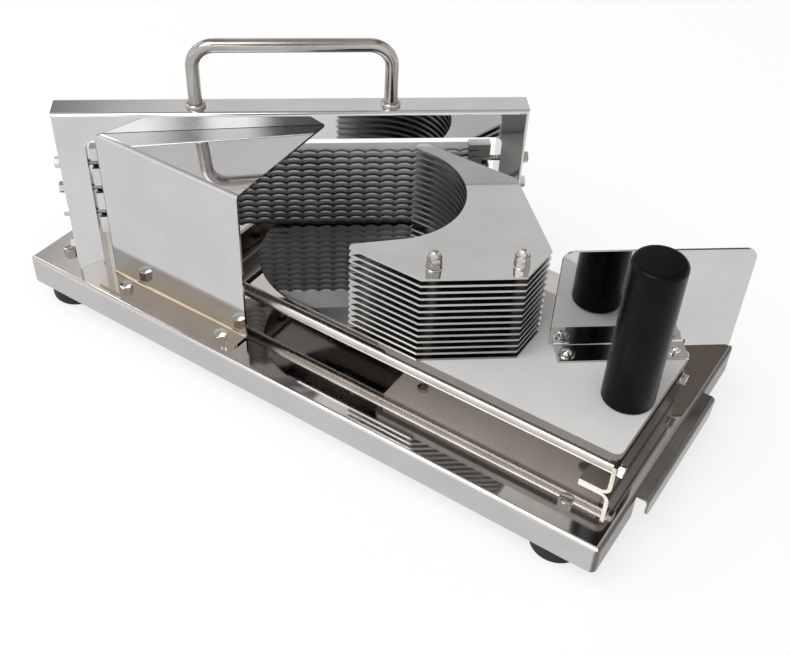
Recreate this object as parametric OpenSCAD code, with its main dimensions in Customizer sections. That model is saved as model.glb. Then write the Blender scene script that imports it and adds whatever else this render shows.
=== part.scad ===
// Hand-operated tomato slicer: a pusher stack of thin plates slides on two rods
// through a rack of horizontal serrated blades that stands obliquely across a tray.
// Sizes are in millimetres. +X points to the operator, +Z is up, and the origin is
// on the table under the middle of the whole slicer.

/* [Tray] */
// Length of the tray along the slide
tray_l = 436; // [430:1:500]
// Width of the tray across the slide
tray_w = 203; // [202:1:240]
// Height of the tray's folded sides
tray_h = 20; // [18:1:28]
// Thickness of the tray's sheet
tray_t = 1.5; // [1:0.1:2]
// Radius of the tray's upright corners
tray_corner = 4; // [4:0.5:12]
// Radius of the fold between the tray's top and its sides
tray_fold = 3; // [2.2:0.2:4]

/* [End lip] */
// Distance of the lip from the tray's near side
lip_y = 50; // [45:1:60]
// Width of the lip
lip_w = 101; // [60:1:105]
// How far the lip stands out from the tray's end
lip_reach = 8; // [6:0.5:14]
// Drop of the lip's folded edge
lip_drop = 15; // [10:0.5:18]
// Length of the lip's plate under the tray's top
lip_tuck = 18; // [12:1:18]
// Thickness of the lip's sheet
lip_t = 1.5; // [1:0.1:2]
// Radius of the lip's lower corners
lip_corner = 6; // [2:0.5:8]

/* [Feet] */
// Height of the tray's sides above the table
foot_lift = 16; // [14:0.5:22]
// Diameter of a foot's pad
foot_d = 34; // [26:1:36]
// Height of a foot's pad
foot_pad_h = 12; // [6:0.5:12]
// Bevel of a foot's edges
foot_bevel = 2.5; // [1:0.25:2.75]
// Diameter of a foot's neck
foot_neck_d = 19; // [14:1:22]
// Distance of the left feet's centres from the tray's left end
foot_left_in = 19; // [17:0.5:19]
// Distance of the right feet's centres from the tray's operator end
foot_right_in = 31; // [24:1:60]
// Distance of a foot's centre from the tray's long side
foot_inset_y = 21; // [18:0.5:21]
// Diameter of a foot's bolt
foot_bolt_d = 5; // [4:0.5:8]
// Depth of a foot's bolt in the rubber
foot_bolt_depth = 16; // [10:1:20]

/* [Rods and brackets] */
// Diameter of a slide rod
rod_d = 8; // [7:0.5:9]
// Height of the rods' axes above the tray
rod_z = 19.5; // [17:0.5:24]
// Distance of the near rod from the tray's near side
rod_y = 43; // [42:0.5:50]
// Distance between the two rods
rod_gap = 89; // [86:1:92]
// Place of the left bracket's face that the rods meet
rod_left_x = 122; // [110:0.5:122]
// Distance of the right bracket's face that the rods meet from the tray's operator end
rod_right_in = 14.5; // [13:0.5:21]
// Thickness of a bracket
bracket_t = 2.5; // [2:0.1:3]
// Length of a bracket's foot
bracket_foot = 20; // [16:0.5:26]
// Outer radius of a bracket's bend
bracket_bend = 6; // [3.2:0.2:6]
// Bracket beyond the rods at each end
bracket_side = 0; // [0:0.5:8]
// Diameter of a bolt in a rod's end
rod_bolt_d = 4; // [3:0.5:5]
// Depth of a bolt in a rod's end
rod_bolt_depth = 12; // [8:1:20]
// Diameter of a bracket's screw
bracket_screw_d = 4; // [3:0.5:5]
// Distance of a bracket's screws from the rods, towards the middle
bracket_screw_in = 22; // [15:1:30]

/* [Blade frame] */
// Place of the frame's front left foot along the tray
frame_x = 42; // [40:0.5:44]
// Distance of the frame's front left foot from the tray's near side
frame_y = 6.5; // [5:0.5:7]
// Angle between the frame and the slide, in degrees
frame_turn = 37.75; // [36.5:0.25:38.5]
// Length of the frame
frame_l = 296; // [285:1:300]
// Depth of the frame
frame_d = 19; // [17.5:0.25:19.5]
// Height of the frame's opening above the top plate
bar_room = 9.4; // [6:0.1:20]
// Thickness of the frame's sheet
frame_t = 1.5; // [1:0.1:2]
// Radius of the frame's folded edges
frame_fold = 2.5; // [2:0.1:4]
// Width of the left post
post_left_w = 18; // [15:0.5:19]
// Width of the right post
post_right_w = 16; // [15:0.5:18]
// Height of the bar across the top
bar_h = 19; // [16:0.5:20]
// Radius of the upper corners of the frame's opening
opening_corner = 5; // [2:0.5:8]
// Height of the bracket inside each post
post_foot_h = 28; // [26:0.5:34]
// Thickness of the bracket inside each post
post_foot_t = 2.5; // [2:0.1:3]
// Inner radius of the bend of the bracket inside each post
post_foot_round = 0.5; // [0.3:0.1:0.6]
// Height of the bolt that holds each post to its bracket
post_bolt_z = 20; // [19:0.5:21]
// Diameter of the bolts of the posts' brackets
post_bolt_d = 5; // [4:0.5:5]

/* [Carry handle] */
// Diameter of the handle's bar
handle_d = 8.5; // [7:0.5:10]
// Distance between the handle's legs
handle_w = 121; // [100:1:140]
// Height of the handle above the frame
handle_h = 45; // [38:1:60]
// Bend radius of the bar's centre line
handle_bend = 14; // [8:0.5:18]
// Diameter of the handle's threaded ends
handle_stud_d = 6; // [4:0.5:6.5]
// Outer diameter of the collars at the handle's feet
collar_d = 12.5; // [11.5:0.5:15]
// Height of the collars
collar_h = 2.5; // [1.5:0.5:5]

/* [Blades and pusher plates] */
// Number of blades, and of pusher plates above the nose plate
slices = 13; // [10:1:13]
// Height from one blade to the next
pitch = 4.7; // [4.4:0.1:6]
// Thickness of a blade
blade_t = 0.5; // [0.4:0.05:0.7]
// Width of a blade from its points to its back
blade_w = 11; // [9:0.5:12]
// Distance of the blades' points behind the frame's face
blade_set = 3.2; // [2.6:0.1:4]
// Distance between the blades' points
tooth_pitch = 10.2; // [8:0.2:14]
// Depth of the hollows between the points
tooth_depth = 2; // [1:0.1:3]
// Width of the blades' blunt points
tooth_flat = 0.8; // [0.4:0.1:1.5]
// Thickness of a pusher plate
fin_t = 1.5; // [1:0.1:1.8]

/* [Blade blocks] */
// Gap between the left post and its blade block
block_left_gap = 1.2; // [1:0.1:2]
// Clearance between the left blade block and the plates that pass it
pass_gap = 1.5; // [0.8:0.1:2.5]
// Gap between the right post and its blade block
block_right_gap = 6; // [4:0.5:12]
// Width of the right blade block
block_right_w = 14; // [11:0.5:18]
// Depth of a blade block
block_d = 7; // [6:0.5:7.5]
// Distance of a blade block behind the blades' points
block_set = 0.8; // [0.4:0.1:1.5]
// Height of a block above and below the blades
block_over = 4; // [3:0.5:5]
// Length of blade held in a block
blade_grip = 6; // [5:0.5:6.5]
// Diameter of the pin through the blade ends
blade_pin_d = 3; // [2:0.5:3.5]
// Diameter of a tension bolt
tension_d = 4; // [3:0.5:5]
// Height of the lowest tension bolt above the blocks' lower ends
tension_low = 15; // [8:0.5:18]
// Depth of the highest tension bolt below the blocks' upper ends
tension_high = 12; // [8:0.5:18]
// Number of tension bolts in each block
tension_count = 3; // [2:1:3]
// Length of the open pocket at each tension bolt
pocket_l = 5; // [3:0.5:5.5]
// Height of the open pocket at each tension bolt
pocket_h = 6; // [5:0.5:8]

/* [Side guard] */
// Distance of the guard's plate from the tray's near side
guard_y = 22; // [21:0.5:23]
// Place of the guard's left edge below the frame's bar
guard_left_x = 61; // [60.5:0.5:63]
// Place of the guard's right edge
guard_right_x = 174; // [150:1:180]
// Width of the guard's foot
guard_foot = 16; // [14:0.5:17]
// Thickness of the guard's sheet
guard_t = 1.5; // [1:0.1:1.8]
// Outer radius of the guard's bends
guard_bend = 3; // [2.2:0.2:4]
// Slope of the guard's top, which rises towards the frame, in degrees
guard_slope = 3.5; // [0:0.5:4]
// Radius of the outer corner of the guard's foot
guard_corner = 7; // [3:0.5:10]
// Place of the guard's left bolt
guard_bolt_x = 79; // [76:1:86]
// Distance between the guard's bolts
guard_bolt_gap = 82; // [60:1:82]
// Diameter of the guard's bolts
guard_bolt_d = 5; // [4:0.5:6]

/* [Slide board] */
// Length of the slide board
board_l = 162; // [158:1:164]
// Width of the slide board
board_w = 102; // [98:1:105]
// Thickness of the slide board
board_t = 5; // [4.5:0.5:6]
// Board beyond the near rod's axis
board_side = 4; // [3:0.5:8]
// Radius of the board's corners
board_corner = 5; // [2:0.5:8]
// Gap between the board's underside and the rods
board_over = 5.5; // [4:0.5:7]

/* [Slide runner] */
// Length of the runner under the board
runner_l = 150; // [140:1:151]
// Place of the runner from the board's front end
runner_front = 5; // [4:0.5:7]
// Depth of the runner below the rods' axes
runner_drop = 6; // [5:0.5:8]
// Diameter of the runner's screws
runner_screw_d = 4; // [3:0.5:5]
// Distance of the runner's screws from its ends
runner_screw_in = 18; // [15:1:19]
// Distance of the runner's screws from the rods
runner_screw_side = 18; // [16:1:24]
// Depth of the runner's screws in the board
runner_screw_depth = 3.5; // [2:0.5:3.5]

/* [Pusher stack] */
// Plates beyond the board's near edge
stack_side = 1.5; // [0:0.5:1.5]
// Width of the plates
stack_w = 118; // [110:0.5:119]
// Start of the slanting near edge, from the board's front end
stack_in = 30; // [26:0.5:32]
// Reach of the nose plate in front of the slanting edge
nose_reach = 148; // [130:0.5:148]
// Length of the near edge, up to the horns' points
near_edge_l = 49; // [44:0.5:54]
// Length of the slanting near edge along the slide
chamfer_l = 47.5; // [44:0.5:50]
// Length of the slanting far edge along the slide
chamfer_far_l = 52; // [40:1:53]
// Length of the far edge, up to the horns' points
far_edge_l = 70.5; // [60:0.5:78]
// Size of the cut on the far horns' points
horn_cut = 4; // [2:0.5:5]
// Radius of the scoop
scoop_r = 50; // [44:0.5:51]
// Distance of the scoop's deepest point from the start of the slanting edge
scoop_back = 14; // [10:0.5:20]
// Distance of the scoop's centre from the plates' far edges
scoop_in = 58.5; // [55.5:0.5:60]
// Distance of the stack's bolts from the slanting near edge
stack_bolt_in = 10.5; // [9:0.25:12]
// Place of the near stack bolt along the slanting near edge
stack_bolt_along = 8; // [6:0.5:10]
// Distance between the stack's bolts
stack_bolt_gap = 50; // [48:0.5:51]
// Diameter of the stack's bolts
stack_bolt_d = 5; // [4:0.5:6]
// Diameter of the spacers between the plates
spacer_d = 9; // [8:0.5:10]

/* [Grip] */
// Diameter of the grip at its foot
grip_d = 31.5; // [31:0.5:34]
// Diameter of the grip at its top
grip_top_d = 31; // [24:0.5:31]
// Height of the grip
grip_h = 100; // [80:1:120]
// Radius of the grip's top edge
grip_round = 3; // [2:0.5:10]
// Distance of the grip's centre from the board's operator end
grip_in = 16.5; // [16:0.5:20]
// Distance of the grip's centre from the board's near edge
grip_y = 45.5; // [40:0.5:46]
// Diameter of the stud in the grip
grip_stud_d = 8; // [6:0.5:10]
// Length of the stud in the grip
grip_stud_l = 40; // [20:1:60]
// Diameter of the stud's head under the board
grip_head_d = 13.6; // [12:0.2:16]
// Height of the stud's head
grip_head_h = 3.3; // [2:0.1:4]

/* [Hand guard] */
// Distance of the hand guard's left end from the board's operator end
hand_in = 72.5; // [72:0.5:74]
// Distance of the hand guard's left end from the board's near edge
hand_y = 59; // [58:0.5:60]
// Length of the hand guard's foot
hand_foot_l = 80; // [70:1:81]
// Width of the hand guard's foot
hand_foot_w = 16.5; // [14:0.5:17]
// Width of the hand guard's plate
hand_w = 113; // [95:1:116]
// Height of the hand guard above the board
hand_h = 72; // [60:1:74]
// Plate beyond the left end of the foot
hand_left = 3; // [0:0.5:4]
// Height above the board of the plate's lower edge beyond the foot
hand_clear = -2; // [-3:0.5:2]
// Thickness of the hand guard's sheet
hand_t = 1.5; // [1:0.1:2]
// Outer radius of the hand guard's bend
hand_bend = 3; // [2.2:0.2:4]
// Radius of the plate's upper corners
hand_corner = 7; // [3:0.5:10]
// Distance of the hand guard's screws from the foot's ends
hand_screw_in = 6.5; // [6:0.5:12]
// Diameter of the hand guard's screws
hand_screw_d = 4; // [3:0.5:5]
// Depth of the hand guard's screws in the board
hand_screw_depth = 3.5; // [2:0.5:3.5]

/* [Fasteners and fits] */
// Radial clearance of a bolt in its hole
bolt_gap = 0.15; // [0.05:0.05:0.3]
// Radial clearance between the rods and the runner
run_gap = 0.08; // [0.05:0.01:0.1]
// Clearance of a blade in its slot, above and below
slot_gap = 0.1; // [0.05:0.05:0.2]
// Clearance between folded sheets that lie close together
sheet_gap = 0.4; // [0.3:0.1:0.6]
// Clearance between the nuts on the stack and the side guard
nut_room = 1.2; // [1:0.1:2]
// Height of a bolt's head, in bolt diameters
head_h_ratio = 0.75; // [0.6:0.05:0.8]
// Width of a hexagon across its corners, in bolt diameters
head_d_ratio = 1.9; // [1.8:0.05:2]
// Height of a cap nut's hexagon, in bolt diameters
cap_hex_ratio = 0.7; // [0.5:0.05:0.8]
// Radius of a cap nut's dome, in bolt diameters
cap_dome_ratio = 0.8; // [0.7:0.05:0.85]
// Place of a bolt in the foot it holds, as a share of the foot's width
bolt_place = 0.6; // [0.55:0.01:0.62]
// Thickness of a washer
washer_t = 0.8; // [0.5:0.1:1]
// Diameter of a washer, in bolt diameters
washer_ratio = 2; // [1.9:0.05:2.1]
// Diameter of a wide washer, in screw diameters
wide_washer_ratio = 2.5; // [2.2:0.1:2.6]
// Radius of a button head, in screw diameters
button_ratio = 0.9; // [0.8:0.05:1]
// Share of a button head's ball below the washer
button_sink = 0.4; // [0.2:0.05:0.6]

/* [Hidden] */
$fn = 64;
hex = 6;
cut = 1;
quarter = 90;

tray_x0 = -(tray_l + lip_reach) / 2;
tray_y0 = -tray_w / 2;
tray_top = foot_lift + tray_h;

rod_far_y = rod_y + rod_gap;
rod_right_x = tray_l - rod_right_in;
bracket_h = rod_z + rod_d / 2;
bracket_y = rod_y - rod_d / 2 - bracket_side;
bracket_l = rod_gap + rod_d + 2 * bracket_side;
bracket_screw_y = [rod_y + bracket_screw_in, rod_far_y - bracket_screw_in];

board_z = rod_z + rod_d / 2 + board_over;
board_top = board_z + board_t;
board_right_x = rod_right_x + bracket_t;
board_x = board_right_x - board_l;
board_y = rod_y - board_side;
nose_top = board_top + fin_t;
fin_gap = pitch - fin_t;
stack_top = nose_top + slices * pitch;
stack_y = board_y - stack_side;
stack_far_y = stack_y + stack_w;
chamfer_x = board_x + stack_in;
stack_rear_x = chamfer_x + chamfer_l;
chamfer_w = chamfer_l * tan(frame_turn);
far_edge_x = stack_rear_x - chamfer_far_l;
horn_near_x = chamfer_x - near_edge_l;
horn_far_x = far_edge_x - far_edge_l;
nose_x = chamfer_x - nose_reach;
scoop_x = chamfer_x - scoop_back - scoop_r;
scoop_y = stack_far_y - scoop_in;
stack_bolts_at = [
    for (run = [stack_bolt_along, stack_bolt_along + stack_bolt_gap])
        [
            chamfer_x + run * cos(frame_turn) - stack_bolt_in * sin(frame_turn),
            stack_y + run * sin(frame_turn) + stack_bolt_in * cos(frame_turn)
        ]
];

opening_h = stack_top + bar_room;
frame_h = opening_h + bar_h;
opening_right = frame_l - post_right_w;
post_foot_l = min(post_left_w, post_right_w) - 2 * frame_t - sheet_gap;
post_foot_d = frame_d - frame_t - 2 * sheet_gap;
post_bolt_y = frame_t + sheet_gap + post_foot_d / 2;

block_y = blade_set + block_set;
block_mid_y = block_y + block_d / 2;
block_left_x = post_left_w + block_left_gap;
block_left_end = (stack_y - pass_gap - frame_y - (block_y + block_d) * cos(frame_turn)) / sin(frame_turn);
block_right_x = opening_right - block_right_gap;
blade_left = block_left_end - blade_grip;
blade_right = block_right_x - block_right_w + blade_grip;
block_low = blade_z(1) - blade_t / 2 - block_over;
block_high = blade_z(slices) + blade_t / 2 + block_over;
pins_at = [blade_left + blade_grip / 2, blade_right - blade_grip / 2];
tension_step = (block_high - block_low - tension_low - tension_high) / (tension_count - 1);
tension_zs = [for (i = [0:tension_count - 1]) block_low + tension_low + i * tension_step];
tension_left_l = blade_left - sheet_gap;
tension_right_l = frame_l - blade_right - sheet_gap;

handle_leg_h = handle_h - handle_d / 2 - handle_bend;
handle_at = [frame_l / 2 - handle_w / 2, frame_l / 2 + handle_w / 2];
handle_nut_h = handle_stud_d * head_h_ratio;
handle_stud_l = frame_t + handle_nut_h + cut;

stack_nuts_h = washer_t + head_h(stack_bolt_d) + (cap_hex_ratio + cap_dome_ratio) * stack_bolt_d;
guard_h = stack_top + stack_nuts_h + nut_room + guard_t;
guard_top_l = face_y(guard_right_x) - guard_y;
guard_bolts_at = [
    for (x = [guard_bolt_x, guard_bolt_x + guard_bolt_gap]) [x, guard_y - guard_foot * bolt_place]
];
grip_at = [board_right_x - grip_in, board_y + grip_y];
hand_at = [board_right_x - hand_in, board_y + hand_y];
hand_screws_at = [for (x = [hand_screw_in, hand_foot_l - hand_screw_in]) [x, -hand_foot_w * bolt_place]];
runner_x = board_x + runner_front;
runner_z = rod_z - runner_drop;
runner_screws_at = [
    for (
        x = [runner_x + runner_screw_in, runner_x + runner_l - runner_screw_in],
        y = [rod_y + runner_screw_side, rod_far_y - runner_screw_side]
    ) [x, y]
];
feet_at = [
    for (x = [foot_left_in, tray_l - foot_right_in], y = [foot_inset_y, tray_w - foot_inset_y]) [x, y]
];

function head_h(d) = d * head_h_ratio;
function head_d(d) = d * head_d_ratio;
function blade_z(i) = nose_top + (i - 1) * pitch + fin_gap / 2;
function numbered(name, i) = str(name, i < 10 ? "_0" : "_", i);
function face_y(x) = frame_y + (x - frame_x) * tan(frame_turn);

// Places its children by their distance from the tray's left end, near side and top
module on_tray() {
    translate([tray_x0, tray_y0, tray_top]) children();
}

// Places its children by their distance along the frame, behind its face and above the tray
module in_frame() {
    on_tray() translate([frame_x, frame_y, 0]) rotate([0, 0, frame_turn]) children();
}

// Places its children along the hand guard's foot, behind its bend and above the board
module in_hand_guard() {
    on_tray() translate([hand_at[0], hand_at[1], board_top]) rotate([0, 0, frame_turn]) children();
}

module round_rect(l, w, r) {
    translate([r, 0]) square([l - 2 * r, w]);
    translate([0, r]) square([l, w - 2 * r]);
    for (x = [r, l - r], y = [r, w - r]) translate([x, y]) circle(r);
}

// A rectangle whose two upper corners are round
module round_top(l, h, r) {
    square([l, h - r]);
    translate([r, 0]) square([l - 2 * r, h]);
    for (x = [r, l - r]) translate([x, h - r]) circle(r);
}

// Two legs of sheet that meet in a bend at the origin
module angle_profile(across, up, t, bend) {
    translate([bend, 0]) square([across - bend, t]);
    translate([0, bend]) square([t, up - bend]);
    intersection() {
        translate([bend, bend]) difference() {
            circle(bend);
            circle(bend - t);
        }
        square(bend);
    }
}

// Carries a profile drawn across and up along the Y axis
module along_y(l) {
    translate([0, l, 0]) rotate([90, 0, 0]) linear_extrude(l) children();
}

// Carries a profile drawn across and up along the X axis
module along_x(l) {
    rotate([90, 0, 90]) linear_extrude(l) children();
}

module hex_head(d) {
    cylinder(d = head_d(d), h = head_h(d), $fn = hex);
}

// A bolt whose head stands on the XY plane and whose shank goes down
module hex_bolt(d, l) {
    hex_head(d);
    translate([0, 0, -l]) cylinder(d = d, h = l + head_h(d) / 2);
}

module washer_bolt(d, l) {
    cylinder(d = d * washer_ratio, h = washer_t);
    translate([0, 0, washer_t]) hex_bolt(d, l + washer_t);
}

// A screw with a low domed head on a washer
module button_screw(d, l) {
    head_r = d * button_ratio;
    cylinder(d = d * wide_washer_ratio, h = washer_t);
    translate([0, 0, washer_t]) intersection() {
        cylinder(r = head_r, h = head_r);
        translate([0, 0, -head_r * button_sink]) sphere(head_r);
    }
    translate([0, 0, -l]) cylinder(d = d, h = l + washer_t);
}

module hex_nut(d) {
    difference() {
        hex_head(d);
        translate([0, 0, -cut]) cylinder(d = d + 2 * bolt_gap, h = head_h(d) + 2 * cut);
    }
}

// A hole through whatever lies between two heights
module hole(d, low, high) {
    translate([0, 0, low]) cylinder(d = d + 2 * bolt_gap, h = high - low);
}

module tray_solid(l, w, h, corner, fold) {
    intersection() {
        linear_extrude(h) round_rect(l, w, corner);
        along_x(l) round_top(w, h, fold);
        along_y(w) round_top(l, h, fold);
    }
}

module base_tray() {
    color("gainsboro") on_tray() difference() {
        translate([0, 0, -tray_h]) tray_solid(tray_l, tray_w, tray_h, tray_corner, tray_fold);
        translate([tray_t, tray_t, -tray_h - cut]) linear_extrude(tray_h - tray_t + cut)
            round_rect(tray_l - 2 * tray_t, tray_w - 2 * tray_t, tray_corner - tray_t);
        translate([tray_l - tray_corner, lip_y - sheet_gap, -tray_h - cut])
            cube([tray_corner + cut, lip_w + 2 * sheet_gap, tray_h - tray_t + cut]);
        for (p = feet_at) translate(p) hole(foot_bolt_d, -tray_h, cut);
        for (p = guard_bolts_at) translate(p) hole(guard_bolt_d, -tray_h, cut);
        for (x = [rod_left_x, rod_right_x], y = bracket_screw_y)
            translate([bracket_screw_x(x), y]) hole(bracket_screw_d, -tray_h, cut);
        translate([frame_x, frame_y]) rotate([0, 0, frame_turn])
            for (x = post_bolt_xs()) translate([x, post_bolt_y]) hole(post_bolt_d, -tray_h, cut);
    }
}

module end_lip() {
    color("gainsboro") on_tray() translate([tray_l + lip_reach, lip_y, -tray_t - lip_drop])
        mirror([1, 0, 0]) intersection() {
            translate([0, 0, lip_drop]) mirror([0, 0, 1])
                along_y(lip_w) angle_profile(lip_tuck + lip_reach, lip_drop, lip_t, 2 * lip_t);
            union() {
                along_x(2 * lip_t) translate([0, lip_drop]) mirror([0, 1])
                    round_top(lip_w, lip_drop, lip_corner);
                translate([lip_t, 0, lip_drop - lip_t]) cube([lip_tuck + lip_reach, lip_w, lip_t]);
            }
        }
}

module rubber_feet() {
    foot_h = tray_top - tray_t;
    color("black") translate([tray_x0, tray_y0, 0]) for (p = feet_at) translate(p) difference() {
        rotate_extrude() polygon([
            [0, 0],
            [foot_d / 2 - foot_bevel, 0],
            [foot_d / 2, foot_bevel],
            [foot_d / 2, foot_pad_h - foot_bevel],
            [foot_neck_d / 2, foot_pad_h + foot_bevel],
            [foot_neck_d / 2, foot_h],
            [0, foot_h]
        ]);
        hole(foot_bolt_d, foot_h - foot_bolt_depth - cut, foot_h + cut);
    }
}

module foot_bolts() {
    color("silver") on_tray() for (p = feet_at) translate(p)
        hex_bolt(foot_bolt_d, tray_t + foot_bolt_depth);
}

function bracket_screw_x(x) = x + (x < tray_l / 2 ? 1 : -1) * (bracket_foot - bracket_t) * bolt_place;

// An angle bracket whose upright stands outside the rods' ends and whose foot lies under them
module rail_bracket(x, side) {
    color("silver") on_tray() translate([x, bracket_y, 0]) difference() {
        mirror([side < 0 ? 1 : 0, 0, 0]) translate([-bracket_t, 0, 0])
            along_y(bracket_l) angle_profile(bracket_foot, bracket_h, bracket_t, bracket_bend);
        for (y = [rod_y, rod_far_y]) translate([0, y - bracket_y, rod_z]) rotate([0, quarter, 0])
            hole(rod_bolt_d, -bracket_t - cut, bracket_t + cut);
        for (y = bracket_screw_y) translate([bracket_screw_x(x) - x, y - bracket_y])
            hole(bracket_screw_d, -cut, bracket_t + cut);
    }
}

module rail_bracket_left() {
    rail_bracket(rod_left_x, 1);
}

module rail_bracket_right() {
    rail_bracket(rod_right_x, -1);
}

module rail(y) {
    rod_l = rod_right_x - rod_left_x;
    color("gainsboro") on_tray() translate([rod_left_x, y, rod_z]) rotate([0, quarter, 0]) difference() {
        cylinder(d = rod_d, h = rod_l);
        hole(rod_bolt_d, -cut, rod_bolt_depth + cut);
        hole(rod_bolt_d, rod_l - rod_bolt_depth - cut, rod_l + cut);
    }
}

module near_rail() {
    rail(rod_y);
}

module far_rail() {
    rail(rod_far_y);
}

module rail_bolts() {
    color("silver") on_tray() for (y = [rod_y, rod_far_y]) {
        translate([rod_left_x - bracket_t, y, rod_z]) rotate([0, -quarter, 0])
            washer_bolt(rod_bolt_d, bracket_t + rod_bolt_depth);
        translate([rod_right_x + bracket_t, y, rod_z]) rotate([0, quarter, 0])
            washer_bolt(rod_bolt_d, bracket_t + rod_bolt_depth);
    }
}

module bracket_screws() {
    reach = bracket_t + tray_t;
    color("silver") on_tray() for (x = [rod_left_x, rod_right_x], y = bracket_screw_y)
        translate([bracket_screw_x(x), y, bracket_t]) {
            hex_bolt(bracket_screw_d, reach + head_h(bracket_screw_d));
            translate([0, 0, -reach - head_h(bracket_screw_d)]) hex_head(bracket_screw_d);
        }
}

function post_bolt_xs() = [
    frame_t + sheet_gap + post_foot_l * bolt_place,
    frame_l - frame_t - sheet_gap - post_foot_l * bolt_place
];

module frame_opening(h) {
    translate([0, 0, -cut]) translate([post_left_w, frame_d + cut, 0]) rotate([quarter, 0, 0])
        linear_extrude(frame_d + 2 * cut)
            round_top(opening_right - post_left_w, h + cut, opening_corner);
}

module frame_shell() {
    inner_h = frame_h - frame_t;
    color("gainsboro") in_frame() difference() {
        intersection() {
            linear_extrude(frame_h) round_rect(frame_l, frame_d, frame_fold);
            along_x(frame_l) round_top(frame_d, frame_h, frame_fold);
        }
        frame_opening(opening_h);
        translate([frame_t, frame_t, -cut]) cube([post_left_w - 2 * frame_t, frame_d, inner_h + cut]);
        translate([opening_right + frame_t, frame_t, -cut])
            cube([post_right_w - 2 * frame_t, frame_d, inner_h + cut]);
        translate([frame_t, frame_t, opening_h + frame_t])
            cube([frame_l - 2 * frame_t, frame_d, bar_h - 2 * frame_t]);
        for (z = tension_zs) translate([0, block_mid_y, z]) rotate([0, quarter, 0]) {
            hole(tension_d, -cut, post_left_w + cut);
            hole(tension_d, opening_right - cut, frame_l + cut);
        }
        translate([0, post_bolt_y, post_bolt_z]) rotate([0, quarter, 0]) {
            hole(post_bolt_d, -cut, 2 * frame_t);
            hole(post_bolt_d, frame_l - 2 * frame_t, frame_l + cut);
        }
        for (x = handle_at) translate([x, frame_d / 2]) hole(handle_stud_d, inner_h - cut, frame_h + cut);
    }
}

// The angle inside a post, with its upright at the origin
module post_foot() {
    difference() {
        translate([0, frame_t + sheet_gap, 0])
            along_y(post_foot_d)
                angle_profile(post_foot_l, post_foot_h, post_foot_t, post_foot_t + post_foot_round);
        translate([0, post_bolt_y, post_bolt_z]) rotate([0, quarter, 0])
            hole(post_bolt_d, -cut, post_foot_t + cut);
        translate([post_foot_l * bolt_place + sheet_gap, post_bolt_y])
            hole(post_bolt_d, -cut, post_foot_t + cut);
    }
}

module frame_foot_brackets() {
    color("silver") in_frame() {
        translate([frame_t, 0, 0]) post_foot();
        translate([frame_l - frame_t, 0, 0]) mirror([1, 0, 0]) post_foot();
    }
}

module post_bolts() {
    through = frame_t + post_foot_t;
    translate([0, post_bolt_y, post_bolt_z]) rotate([0, -quarter, 0]) {
        hex_bolt(post_bolt_d, through + head_h(post_bolt_d));
        translate([0, 0, -through - head_h(post_bolt_d)]) hex_head(post_bolt_d);
    }
    down = post_foot_t + tray_t;
    translate([post_bolt_xs()[0], post_bolt_y, post_foot_t]) {
        hex_bolt(post_bolt_d, down + head_h(post_bolt_d));
        translate([0, 0, -down - head_h(post_bolt_d)]) hex_head(post_bolt_d);
    }
}

module frame_foot_bolts() {
    color("silver") in_frame() {
        post_bolts();
        translate([frame_l, 0, 0]) mirror([1, 0, 0]) post_bolts();
    }
}

module carry_handle() {
    rise = handle_leg_h + handle_bend;
    color("gainsboro") in_frame() translate([handle_at[0], frame_d / 2, frame_h]) {
        for (x = [0, handle_w]) translate([x, 0, 0]) {
            cylinder(d = handle_d, h = handle_leg_h);
            translate([0, 0, -handle_stud_l]) cylinder(d = handle_stud_d, h = handle_stud_l + cut);
        }
        translate([handle_bend, 0, rise]) rotate([0, quarter, 0])
            cylinder(d = handle_d, h = handle_w - 2 * handle_bend);
        translate([handle_bend, 0, handle_leg_h]) rotate([quarter, 0, 0]) rotate([0, 0, quarter])
            rotate_extrude(angle = quarter) translate([handle_bend, 0]) circle(d = handle_d);
        translate([handle_w - handle_bend, 0, handle_leg_h]) rotate([quarter, 0, 0])
            rotate_extrude(angle = quarter) translate([handle_bend, 0]) circle(d = handle_d);
    }
}

module handle_collars() {
    color("silver") in_frame() for (x = handle_at) translate([x, frame_d / 2, frame_h]) difference() {
        cylinder(d = collar_d, h = collar_h);
        hole(handle_d, -cut, collar_h + cut);
    }
}

module handle_nuts() {
    color("silver") in_frame() for (x = handle_at)
        translate([x, frame_d / 2, frame_h - frame_t - handle_nut_h]) hex_nut(handle_stud_d);
}

// A serrated blade whose points lie on the X axis
module blade_outline() {
    run = blade_right - blade_left;
    teeth = floor(run / tooth_pitch);
    hollow_w = tooth_pitch - tooth_flat;
    hollow_r = (pow(hollow_w / 2, 2) + pow(tooth_depth, 2)) / (2 * tooth_depth);
    start = (run - teeth * tooth_pitch) / 2;
    difference() {
        square([run, blade_w]);
        for (i = [0:teeth - 1]) translate([start + (i + 1 / 2) * tooth_pitch, tooth_depth - hollow_r])
            circle(hollow_r);
        for (x = pins_at) translate([x - blade_left, block_mid_y - blade_set])
            circle(d = blade_pin_d + 2 * bolt_gap);
    }
}

module blade(i) {
    color("lightgray") in_frame() translate([blade_left, blade_set, blade_z(i) - blade_t / 2])
        linear_extrude(blade_t) blade_outline();
}

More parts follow.
